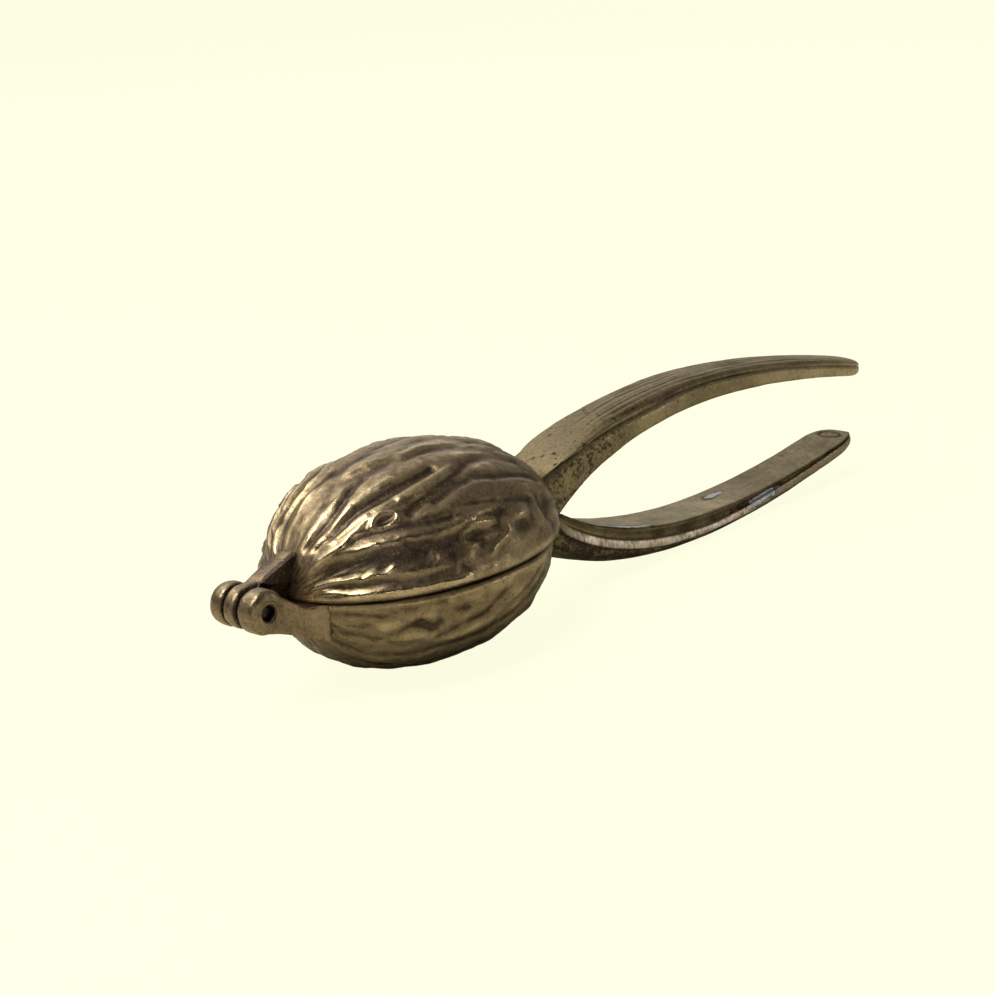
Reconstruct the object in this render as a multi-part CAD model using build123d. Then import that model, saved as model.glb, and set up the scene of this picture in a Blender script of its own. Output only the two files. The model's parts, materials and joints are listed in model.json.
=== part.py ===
from build123d import *
import math
import os

# All sizes are in millimetres. The castings are first drawn about the middle of the walnut, on its
# parting plane, with the hinge towards -X and the handles towards +X. The closed tool is then tipped
# and lifted until its belly and its lower handle both rest on the table at z = 0.

# Walnut
HALF_LENGTH = 30.0
HALF_WIDTH = 21.5
UPPER_HEIGHT = 20.0
LOWER_DEPTH = 18.6
# The lower half stops short of the upper one under the handles.
LOWER_INSET = 2.3
# Higher powers make an end blunter.
HINGE_END_POWER = 2.2
HANDLE_END_POWER = 1.95
OUTLINE_STEPS = 12
WALL = 3.6
RIB_WIDTH = 1.6
RIB_RISE = 0.9
RIB_PITCH = 11.0
SEAM_GAP = 0.3

# Hinge
AXIS_X = -38.1
AXIS_Z = 1.0
EAR_RADIUS = 3.8
KNUCKLE_RADIUS = 3.7
NEAR_EAR = (-5.6, -1.1)
FAR_EAR = (2.3, 5.6)
SIDE_CLEARANCE = 0.1
SWING_CLEARANCE = 0.4
PIN_RADIUS = 1.35
PIN_CLEARANCE = 0.05
PIN_RECESS = 0.8
EAR_ROUND = 0.7
FAR_EAR_ROUND = 1.5
SLOT_ROUND = 0.4
KNUCKLE_ROUND = 0.5
KNUCKLE_BACK_ROUND = 0.3
EAR_ROOT = (-28.0, -5.9)
EAR_SHOULDER = (-34.2, 2.4)
SHOULDER_LEDGE = 3.5
EAR_NECK = (-36.6, 4.42)
ROOT_SIDES = (-5.5, 5.1)
ARM_CREST = (-28.0, 8.0)
ARM_WAIST = (-36.2, 4.9)
GUSSET_SIDE = -1.9
GUSSET_DROP = 1.5

# Handles
UPPER_ROOT = (26.4, 1.2)
LOWER_ROOT = (24.4, 0.6)
HANDLE_RISE = (45.2, 14.5)
HANDLE_CROWN = (75.5, 18.7)
UPPER_TIP = (129.0, 6.2)
LOWER_TIP = (127.0, 7.4)
HANDLE_WIDTHS = (14.1, 10.7, 9.7)
HANDLE_THICKNESSES = (8.5, 6.4, 4.0)
HANDLE_SECTIONS = 9
SLOPE_STEP = 0.01
# Shares of the half width and half thickness: the widest line, the flat inside, the point between.
FLANK_HEIGHT = 0.15
FLAT_WIDTH = 0.82
CHEEK = (0.97, 0.6)

# Rest attitude on the table
REST_PITCH = 1.3
BELLY_WEAR = 0.2
REST_HEIGHT = LOWER_DEPTH + SEAM_GAP / 2 - BELLY_WEAR

FAR = 200.0


def walnut_half(shrink, height, inset):
    """Solid half walnut above z = 0, pulled in all round by shrink and short by inset at +X."""
    half_width = HALF_WIDTH - shrink
    points = []
    for step in range(OUTLINE_STEPS + 1):
        along = -math.cos(math.pi * step / OUTLINE_STEPS)
        power = HINGE_END_POWER if along < 0 else HANDLE_END_POWER
        length = HALF_LENGTH - shrink - (0 if along < 0 else inset)
        fullness = math.sqrt(max(0.0, 1 - abs(along) ** power))
        points.append((length * along, half_width * fullness))
    outline = Spline(points, tangents=[(0, 1), (0, -1)])
    profile = make_face([outline, Line(points[-1], points[0])])
    half = revolve(profile, Axis.X, revolution_arc=180)
    if half.center().Z < 0:
        half = mirror(half, about=Plane.XY)
    return scale(half, by=(1, 1, (height - shrink) / half_width))


def body_of_walnut(height, inset):
    """The whole walnut-shaped space that a half shell takes up, as a cutter for what joins it."""
    return Pos(0, 0, SEAM_GAP / 2) * walnut_half(0, height, inset)


def above(z):
    """Everything over the level z."""
    return Pos(0, 0, z + FAR / 2) * Box(2 * FAR, FAR, FAR)


def shell(height, inset=0, belly_cut=0):
    """One hollow half of the walnut with low gripping ribs across the inside."""
    outside = walnut_half(0, height, inset)
    if belly_cut:
        under_table = Pos(0, 0, height - belly_cut + FAR / 2) * Box(FAR, FAR, FAR)
        outside -= Rot(0, REST_PITCH, 0) * under_table
    hollow = walnut_half(WALL, height, inset)
    rib_tops = walnut_half(WALL + RIB_RISE, height, inset)
    for side in (-1, 0, 1):
        hollow -= Pos(side * RIB_PITCH, 0, 0) * Box(RIB_WIDTH, FAR, FAR)
    return Pos(0, 0, SEAM_GAP / 2) * ((outside - hollow) - rib_tops)


def bezier(controls, u):
    """Point on the Bezier curve with these control values, at u from 0 to 1."""
    degree = len(controls) - 1
    weights = [math.comb(degree, k) * (1 - u) ** (degree - k) * u ** k for k in range(degree + 1)]
    return sum(w * c for w, c in zip(weights, controls))


def handle(root, tip, walnut):
    """One curved handle, crowned outside and flat inside, from the walnut to a round end."""
    controls = (root, HANDLE_RISE, HANDLE_CROWN, tip)
    run = [c[0] for c in controls]
    rise = [c[1] for c in controls]
    sections = []
    for step in range(HANDLE_SECTIONS):
        u = step / (HANDLE_SECTIONS - 1)
        forward = bezier(run, u + SLOPE_STEP) - bezier(run, u - SLOPE_STEP)
        upward = bezier(rise, u + SLOPE_STEP) - bezier(rise, u - SLOPE_STEP)
        plane = Plane(
            origin=(bezier(run, u), 0, bezier(rise, u)),
            x_dir=(0, 1, 0),
            z_dir=(forward, 0, upward),
        )
        half_width = bezier(HANDLE_WIDTHS, u) / 2
        half_thick = bezier(HANDLE_THICKNESSES, u) / 2
        sections.append(plane * handle_section(half_width, half_thick))
    blade = loft(sections)
    end_radius = HANDLE_WIDTHS[-1] / 2
    plan = Pos(tip[0] - end_radius - FAR / 2, 0) * Rectangle(FAR, FAR)
    plan += Pos(tip[0] - end_radius, 0) * Circle(end_radius)
    blade &= Pos(0, 0, -FAR / 2) * extrude(plan, FAR)
    return (blade & above(SEAM_GAP / 2)) - walnut


def handle_section(half_width, half_thick):
    """Outline of a handle: a crowned outside, rounded flanks and a flat inside."""
    flank = FLANK_HEIGHT * half_thick
    flat = FLAT_WIDTH * half_width
    cheek = CHEEK[0] * half_width
    cheek_drop = CHEEK[1] * half_thick
    crown = ThreePointArc((-half_width, flank), (0, half_thick), (half_width, flank))
    right = ThreePointArc((half_width, flank), (cheek, -cheek_drop), (flat, -half_thick))
    inside = Line((flat, -half_thick), (-flat, -half_thick))
    left = ThreePointArc((-flat, -half_thick), (-cheek, -cheek_drop), (-half_width, flank))
    return make_face([crown, right, inside, left])


def bar(radius, span):
    """Round bar along Y on the hinge axis, over the span from its near to its far end."""
    middle = (span[0] + span[1]) / 2
    return Pos(AXIS_X, middle, AXIS_Z) * Rot(90, 0, 0) * Cylinder(radius, span[1] - span[0])


def plate(points, span):
    """Flat plate with this outline in X and Z, over a span of Y."""
    face = Plane.XZ * make_face([Polyline(*points, close=True)])
    return Pos(0, span[1], 0) * extrude(face, span[1] - span[0])


def rounded_bar(radius, span, near_round, far_round):
    """Round bar on the hinge axis with each end's rim rounded over."""
    solid = bar(radius, span)
    rims = solid.edges().filter_by(GeomType.CIRCLE).sort_by(Axis.Y)
    solid = fillet(rims[0], near_round)
    rims = solid.edges().filter_by(GeomType.CIRCLE).sort_by(Axis.Y)
    return fillet(rims[-1], far_round)


def hinge_lug():
    """Two ears on the lower half, joined where they meet the walnut."""
    ears = rounded_bar(EAR_RADIUS, NEAR_EAR, EAR_ROUND, SLOT_ROUND)
    ears += rounded_bar(EAR_RADIUS, FAR_EAR, SLOT_ROUND, FAR_EAR_ROUND)
    root = plate(
        (
            (AXIS_X, AXIS_Z - EAR_RADIUS),
            EAR_ROOT,
            (EAR_ROOT[0], -SEAM_GAP / 2),
            (EAR_SHOULDER[0] + SHOULDER_LEDGE, -SEAM_GAP / 2),
            EAR_SHOULDER,
            EAR_NECK,
            (AXIS_X, AXIS_Z),
        ),
        ROOT_SIDES,
    )
    slot_span = (NEAR_EAR[1], FAR_EAR[0])
    slot = bar(KNUCKLE_RADIUS + SWING_CLEARANCE, slot_span)
    slot += plate(
        (
            (AXIS_X, -SEAM_GAP / 2),
            (EAR_ROOT[0], -SEAM_GAP / 2),
            (EAR_ROOT[0], FAR),
            (AXIS_X, FAR),
        ),
        slot_span,
    )
    lug = ears + (root - slot)
    lug -= bar(PIN_RADIUS, (-FAR, FAR))
    return lug - mirror(body_of_walnut(LOWER_DEPTH, LOWER_INSET), about=Plane.XY)


def hinge_knuckle():
    """The upper half's knuckle between the ears, on an arm with a triangular web."""
    span = (NEAR_EAR[1] + SIDE_CLEARANCE, FAR_EAR[0] - SIDE_CLEARANCE)
    knuckle = rounded_bar(KNUCKLE_RADIUS, span, KNUCKLE_ROUND, KNUCKLE_BACK_ROUND)
    foot = SEAM_GAP / 2
    arm = plate(
        (
            (AXIS_X, AXIS_Z + KNUCKLE_RADIUS),
            ARM_WAIST,
            ARM_CREST,
            (ARM_CREST[0], foot),
            (AXIS_X, foot),
        ),
        span,
    )
    web = plate(
        (
            ARM_WAIST,
            ARM_CREST,
            (ARM_CREST[0], EAR_SHOULDER[1] + 2 * SWING_CLEARANCE),
            (EAR_SHOULDER[0], EAR_SHOULDER[1] + GUSSET_DROP),
        ),
        (GUSSET_SIDE, span[1]),
    )
    body = knuckle + arm + web
    body -= bar(PIN_RADIUS + PIN_CLEARANCE, (-FAR, FAR))
    return body - body_of_walnut(UPPER_HEIGHT, 0)


def seat(solid):
    """Tip the closed tool on to the table, at z = 0."""
    return Pos(0, 0, REST_HEIGHT) * Rot(0, REST_PITCH, 0) * solid


lower_body = body_of_walnut(LOWER_DEPTH, LOWER_INSET)
upper_body = body_of_walnut(UPPER_HEIGHT, 0)
nodes = {
    "lower_shell": mirror(shell(LOWER_DEPTH, LOWER_INSET, BELLY_WEAR), about=Plane.XY),
    "lower_handle": mirror(handle(LOWER_ROOT, LOWER_TIP, lower_body), about=Plane.XY),
    "lower_hinge_lug": hinge_lug(),
    "upper_shell": shell(UPPER_HEIGHT),
    "upper_handle": handle(UPPER_ROOT, UPPER_TIP, upper_body),
    "upper_hinge_knuckle": hinge_knuckle(),
    "hinge_pin": bar(PIN_RADIUS, (NEAR_EAR[0] + PIN_RECESS, FAR_EAR[1] - PIN_RECESS)),
}

os.makedirs("parts", exist_ok=True)
for name, solid in nodes.items():
    seated = seat(solid)
    print(name, round(seated.volume), seated.bounding_box())
    export_step(seated, f"parts/{name}.step")
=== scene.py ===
import itertools
import json
import math

import bmesh
import bpy
import numpy as np
from mathutils import Matrix, Vector


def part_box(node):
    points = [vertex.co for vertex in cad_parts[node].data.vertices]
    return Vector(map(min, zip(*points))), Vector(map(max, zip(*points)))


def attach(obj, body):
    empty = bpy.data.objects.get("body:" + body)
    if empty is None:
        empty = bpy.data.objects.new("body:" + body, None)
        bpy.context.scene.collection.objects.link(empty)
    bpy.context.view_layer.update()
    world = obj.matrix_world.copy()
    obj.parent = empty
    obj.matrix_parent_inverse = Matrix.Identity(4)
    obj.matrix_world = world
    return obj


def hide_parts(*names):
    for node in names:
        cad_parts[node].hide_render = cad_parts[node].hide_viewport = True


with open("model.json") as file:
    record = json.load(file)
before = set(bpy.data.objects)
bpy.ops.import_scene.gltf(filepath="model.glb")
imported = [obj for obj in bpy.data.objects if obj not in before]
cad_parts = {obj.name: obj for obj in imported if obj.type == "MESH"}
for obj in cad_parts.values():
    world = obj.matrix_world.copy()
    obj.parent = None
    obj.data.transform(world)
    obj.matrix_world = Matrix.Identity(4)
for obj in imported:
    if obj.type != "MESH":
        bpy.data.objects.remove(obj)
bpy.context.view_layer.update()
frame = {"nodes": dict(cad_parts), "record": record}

# ------------------------------------------------------------
# Drawing frame: millimetres about the middle of the walnut, on its parting plane, with the hinge
# towards -X and the handles towards +X. place() tips it on to the table, in metres.
# A side of 1 is the upper casting, and -1 the lower one.
# ------------------------------------------------------------
MM = 0.001
SEAM_GAP = 0.3
BELLY_WEAR = 0.2
WALL = 3.6

upper_low, upper_high = (np.array(corner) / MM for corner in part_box("upper_shell"))
lower_low, lower_high = (np.array(corner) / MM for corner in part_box("lower_shell"))
HALF_LENGTH = (upper_high[0] - upper_low[0]) / 2
HALF_WIDTH = (upper_high[1] - upper_low[1]) / 2
# The lower half is inset a little at the hinge, and ends short of the upper one at the handles.
FRONT_INSET = 0.9
REAR_INSET = upper_high[0] - lower_high[0]
# The two rims pass each other in side view by as much as the closed tool is tipped.
REST_PITCH = math.asin((lower_high[2] - upper_low[2] + SEAM_GAP) / (2 * HALF_LENGTH))
CENTRE_HEIGHT = (lower_high[2] + upper_low[2]) / 2
UPPER_HEIGHT = upper_high[2] - CENTRE_HEIGHT - SEAM_GAP / 2
LOWER_DEPTH = CENTRE_HEIGHT - lower_low[2] + BELLY_WEAR - SEAM_GAP / 2
# Roundness of the walnut's two ends: 2 is an ellipse, and more is blunter.
HINGE_END_POWER = 2.2
HANDLE_END_POWER = 1.95

TIP = np.array(Matrix.Rotation(REST_PITCH, 3, "Y"))


def drawn(points):
    """Points on the table, in metres, in the drawing frame in millimetres."""
    return (np.asarray(points) / MM - (0, 0, CENTRE_HEIGHT)) @ TIP


def place(points):
    """Points of the drawing frame, in millimetres, on the table in metres."""
    return (np.asarray(points) @ TIP.T + (0, 0, CENTRE_HEIGHT)) * MM


AXIS = drawn(frame["record"]["behaviour"]["joints"][0]["pos_m"])

# ------------------------------------------------------------
# Smooth seeded noise
# ------------------------------------------------------------
NOISE_SEED = 7
LATTICE_SIZE = 32
LATTICE = np.random.default_rng(NOISE_SEED).uniform(-1, 1, (LATTICE_SIZE,) * 3)


def noise(x, y, z):
    """Smooth random field from -1 to 1, with features about one unit across."""
    point = np.stack(np.broadcast_arrays(x, y, z), axis=-1).astype(float)
    cell = np.floor(point).astype(int)
    part = point - cell
    part = part * part * (3 - 2 * part)
    total = 0
    for corner in itertools.product((0, 1), repeat=3):
        index = (cell + corner) % LATTICE_SIZE
        weight = np.where(corner, part, 1 - part).prod(axis=-1)
        total = total + weight * LATTICE[index[..., 0], index[..., 1], index[..., 2]]
    return total


def fade(value, start, end):
    """Smooth step from 0 at start to 1 at end."""
    part = np.clip((value - start) / (end - start), 0, 1)
    return part * part * (3 - 2 * part)


def line(distance, width):
    """1 on a line, falling to 0 away from it."""
    return np.exp(-((distance / width) ** 2))


# ------------------------------------------------------------
# Mesh helpers
# ------------------------------------------------------------
WELD = 0.002 * MM
SHORTEST_EDGE = 0.001 * MM


def grid_faces(rows, columns):
    """Quads of a grid of points, its columns joined round into a tube."""
    row = np.arange(rows - 1)[:, None] * columns
    column = np.arange(columns)[None, :]
    beside = (column + 1) % columns
    quads = np.stack([row + column, row + beside, row + columns + beside, row + columns + column], axis=-1)
    return quads.reshape(-1, 4).tolist()


def add_layer(mesh, name, values):
    """A number for each point of a mesh, for its material to read."""
    layer = mesh.attributes.new(name, "FLOAT", "POINT")
    layer.data.foreach_set("value", np.asarray(values, dtype=np.float32).ravel())


def join_model(piece, node, body):
    """Hide the CAD node that a piece stands for, and make the piece move with its body."""
    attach(piece, body)
    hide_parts(node)


def add_piece(node, points, faces, body, slot, material, **layers):
    """A smooth mesh piece from drawing-frame points, standing for a CAD node."""
    name = node + "_visual"
    mesh = bpy.data.meshes.new(name)
    where = place(points)
    where[:, 2] = np.maximum(where[:, 2], 0)
    mesh.from_pydata(where.tolist(), [], faces)
    for layer_name, values in layers.items():
        add_layer(mesh, layer_name, values)
    build = bmesh.new()
    build.from_mesh(mesh)
    bmesh.ops.remove_doubles(build, verts=build.verts, dist=WELD)
    bmesh.ops.dissolve_degenerate(build, edges=build.edges, dist=SHORTEST_EDGE)
    bmesh.ops.recalc_face_normals(build, faces=build.faces)
    build.to_mesh(mesh)
    build.free()
    mesh.shade_smooth()
    mesh.materials.append(material)
    piece = bpy.data.objects.new(name, mesh)
    bpy.context.scene.collection.objects.link(piece)
    join_model(piece, node, body)


def running_mean(values, reach):
    """Running average both ways over a grid, for telling crests from hollows."""
    size = 2 * reach + 1
    for axis in (0, 1):
        first = np.repeat(values.take([0], axis), reach, axis)
        last = np.repeat(values.take([-1], axis), reach, axis)
        sums = np.cumsum(np.concatenate([first, values, last], axis), axis)
        sums = np.concatenate([np.zeros_like(sums.take([0], axis)), sums], axis)
        count = values.shape[axis]
        values = (sums.take(range(size, size + count), axis) - sums.take(range(count), axis)) / size
    return values


# ------------------------------------------------------------
# Brass materials
# ------------------------------------------------------------
class Nodes:
    """Short calls for building one material's node tree."""

    def __init__(self, name):
        self.material = bpy.data.materials.new(name)
        self.material.use_nodes = True
        self.tree = self.material.node_tree
        self.tree.nodes.clear()
        self.coordinates = self.tree.nodes.new("ShaderNodeTexCoord").outputs["Object"]

    def link(self, source, node, socket):
        if isinstance(source, (int, float, tuple)):
            node.inputs[socket].default_value = source
        else:
            self.tree.links.new(source, node.inputs[socket])

    def noise(self, scale, detail=3.0, roughness=0.55, stretch=(1, 1, 1)):
        mapping = self.tree.nodes.new("ShaderNodeMapping")
        mapping.inputs["Scale"].default_value = stretch
        self.link(self.coordinates, mapping, "Vector")
        node = self.tree.nodes.new("ShaderNodeTexNoise")
        self.link(mapping.outputs["Vector"], node, "Vector")
        node.inputs["Scale"].default_value = scale
        node.inputs["Detail"].default_value = detail
        node.inputs["Roughness"].default_value = roughness
        return node.outputs["Fac"]

    def attribute(self, name):
        node = self.tree.nodes.new("ShaderNodeAttribute")
        node.attribute_name = name
        return node.outputs["Fac"]

    def math(self, operation, first, second):
        node = self.tree.nodes.new("ShaderNodeMath")
        node.operation = operation
        self.link(first, node, 0)
        self.link(second, node, 1)
        return node.outputs["Value"]

    def span(self, value, low, high, to_low, to_high):
        """Smooth step from to_low at low to to_high at high."""
        node = self.tree.nodes.new("ShaderNodeMapRange")
        node.interpolation_type = "SMOOTHSTEP"
        node.inputs["From Min"].default_value = low
        node.inputs["From Max"].default_value = high
        node.inputs["To Min"].default_value = to_low
        node.inputs["To Max"].default_value = to_high
        self.link(value, node, "Value")
        return node.outputs["Result"]

    def mix(self, factor, first, second):
        node = self.tree.nodes.new("ShaderNodeMix")
        node.data_type = "RGBA"
        self.link(factor, node, "Factor")
        self.link(first, node, "A")
        self.link(second, node, "B")
        return node.outputs["Result"]

    def bump(self, height, depth, strength=1.0, normal=None):
        node = self.tree.nodes.new("ShaderNodeBump")
        node.inputs["Strength"].default_value = strength
        node.inputs["Distance"].default_value = depth
        self.link(height, node, "Height")
        if normal is not None:
            self.link(normal, node, "Normal")
        return node.outputs["Normal"]

    def finish(self, color, roughness, normal, metallic=1.0):
        shader = self.tree.nodes.new("ShaderNodeBsdfPrincipled")
        shader.inputs["Metallic"].default_value = metallic
        self.link(color, shader, "Base Color")
        self.link(roughness, shader, "Roughness")
        self.link(normal, shader, "Normal")
        output = self.tree.nodes.new("ShaderNodeOutputMaterial")
        self.tree.links.new(shader.outputs["BSDF"], output.inputs["Surface"])
        return self.material


def rgb(red, green, blue):
    return (red, green, blue, 1.0)


MAUVE = rgb(0.185, 0.135, 0.120)
OLIVE = rgb(0.170, 0.155, 0.075)
# The rubbed silvery colour is made bright to paint in the reflection on the rim.
RUBBED_SILVER_AND_SHEEN = rgb(1.00, 0.90, 0.82)
SOOTED = rgb(0.58, 0.48, 0.41)
LEADEN = rgb(0.42, 0.45, 0.50)
GRIME_ROUGHNESS = 0.22
RUBBED_SHINE = 0.10
GRAIN_DEPTH = 0.035 * MM


def aged_brass(name, hollow, middle, crest, polish, pit_depth):
    """Cast brass: dark in the hollows, olive-brown between, rubbed bright on the crests.

    The mesh says how worn each point is, with painted shade added in places, from about -1 in a hollow to 1
    on a crest, and where the metal is rubbed glossy, rubbed silvery and brightened as a painted highlight,
    or bluish grey.
    """
    nodes = Nodes(name)
    cloud = nodes.noise(150, 4)
    # worn holds patina and wear, together with the painted shade that the mesh adds to them.
    worn = nodes.math("ADD", nodes.attribute("wear"), nodes.span(cloud, 0.3, 0.7, -0.25, 0.25))
    color = nodes.mix(nodes.span(worn, -0.9, 0.0, 0.0, 1.0), hollow, middle)
    color = nodes.mix(nodes.span(worn, 0.1, 1.1, 0.0, 1.0), color, crest)

    # Broad casts of mauve and olive, then stains, specks and painted glints, each finer than the last.
    color = nodes.mix(nodes.span(nodes.noise(95, 3), 0.35, 0.65, 0.0, 0.20), color, MAUVE)
    mossy = nodes.noise(120, 4, 0.5, (1, 1.4, 1.2))
    color = nodes.mix(nodes.span(mossy, 0.52, 0.70, 0.0, 0.35), color, OLIVE)
    color = nodes.mix(nodes.span(nodes.noise(420, 5, 0.65), 0.52, 0.75, 0.0, 0.45), color, hollow)
    color = nodes.mix(nodes.span(nodes.noise(1900, 3, 0.7), 0.52, 0.68, 0.0, 0.60), color, hollow)
    # Painted glints: fine bright specks that stand in for sparkling highlights.
    color = nodes.mix(nodes.span(nodes.noise(2300, 2, 0.7), 0.56, 0.74, 0.0, 0.36), color, crest)
    # Silvery rim: rubbed metal, made brighter to paint in the reflection on it.
    silvery = nodes.mix(nodes.span(cloud, 0.3, 0.7, 0.0, 1.0), RUBBED_SILVER_AND_SHEEN, SOOTED)
    color = nodes.mix(nodes.attribute("silver_and_highlight"), color, silvery)
    color = nodes.mix(nodes.attribute("bluish_patch"), color, LEADEN)

    rough = nodes.span(worn, -0.8, 1.0, polish + GRIME_ROUGHNESS, polish)
    shine = nodes.math("MULTIPLY", nodes.attribute("rubbed"), RUBBED_SHINE)
    rough = nodes.math("SUBTRACT", rough, shine)
    rough = nodes.math("ADD", rough, nodes.span(nodes.noise(900, 3), 0.3, 0.7, -0.06, 0.08))
    normal = nodes.bump(nodes.noise(2600, 2), GRAIN_DEPTH, 0.7)
    pits = nodes.span(nodes.noise(1500, 3, 0.6), 0.30, 0.46, 0.0, 1.0)
    normal = nodes.bump(pits, pit_depth * MM, 0.7, normal)
    return nodes.finish(color, rough, normal)


# Colours of hollows, of plain metal and of crests, then polish, then the depth of pits.
UPPER_BRASS = aged_brass(
    "upper_brass", rgb(0.060, 0.043, 0.026), rgb(0.250, 0.192, 0.112), rgb(0.54, 0.43, 0.26), 0.29, 0.02
)
LOWER_BRASS = aged_brass(
    "lower_brass", rgb(0.050, 0.036, 0.018), rgb(0.235, 0.182, 0.095), rgb(0.44, 0.35, 0.19), 0.36, 0.05
)
HANDLE_BRASS = aged_brass(
    "handle_brass", rgb(0.045, 0.033, 0.018), rgb(0.228, 0.188, 0.100), rgb(0.44, 0.37, 0.205), 0.36, 0.04
)
HINGE_BRASS = aged_brass(
    "hinge_brass", rgb(0.030, 0.021, 0.013), rgb(0.255, 0.195, 0.110), rgb(0.50, 0.40, 0.26), 0.24, 0.03
)


# ------------------------------------------------------------
# Walnut relief. x runs along the walnut in millimetres; turn runs over it in degrees, from 0 at
# the -Y rim through 90 at the crown to 180 at the +Y rim.
# ------------------------------------------------------------
LEAST_GIRTH = 0.12
# Where a search for the nearest part of a route starts, in millimetres.
FAR_OFF = 1e9


def girth(x):
    """How full the walnut is at x, from 1 in the middle to 0 at both ends."""
    along = np.clip(np.abs(x) / HALF_LENGTH, 0, 1)
    power = np.where(np.asarray(x) < 0, HINGE_END_POWER, HANDLE_END_POWER)
    return np.sqrt(1 - along ** power)


def turning_radius(x):
    """Millimetres for each radian of turn at x, kept above 0 at the walnut's ends."""
    return HALF_WIDTH * np.maximum(girth(x), LEAST_GIRTH)


def smooth_route(route, pieces=5):
    """The same route with rounded bends, passing through its points."""
    points = np.array([route[0], *route, route[-1]], dtype=float)
    result = []
    for before, start, end, after in zip(points[:-3], points[1:-2], points[2:-1], points[3:]):
        bend = 2 * before - 5 * start + 4 * end - after
        twist = 3 * start - 3 * end + after - before
        for step in range(pieces):
            part = step / pieces
            curved = bend * part * part + twist * part ** 3
            result.append(0.5 * (2 * start + (end - before) * part + curved))
    result.append(points[-2])
    return result


def crease(x, turn, height, above, below, route):
    """A ridge, or with a negative height a groove, that follows a route over the walnut.

    above and below are how far it spreads on its crown side and on its rim side.
    """
    radius = turning_radius(x)
    nearest = np.full(x.shape, FAR_OFF)
    side = np.zeros(x.shape)
    route = smooth_route(route)
    for (x0, turn0), (x1, turn1) in zip(route[:-1], route[1:]):
        run = x1 - x0
        climb = np.radians(turn1 - turn0) * radius
        part = (x - x0) * run + np.radians(turn - turn0) * radius * climb
        part = np.clip(part / (run * run + climb * climb), 0, 1)
        off_x = x - x0 - part * run
        off_turn = np.radians(turn - turn0) * radius - part * climb
        distance = np.hypot(off_x, off_turn)
        closer = distance < nearest
        side = np.where(closer, off_turn, side)
        nearest = np.where(closer, distance, nearest)
    return height * line(nearest, np.where(side > 0, above, below))


def dimple(x, turn, height, at, size, slant=0.0):
    """An oval bump, or with a negative height an oval pit."""
    along = x - at[0]
    over = np.radians(turn - at[1]) * turning_radius(x)
    cosine = math.cos(math.radians(slant))
    sine = math.sin(math.radians(slant))
    long_way = (along * cosine + over * sine) / size[0]
    short_way = (over * cosine - along * sine) / size[1]
    return height * np.exp(-(long_way ** 2 + short_way ** 2))


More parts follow.
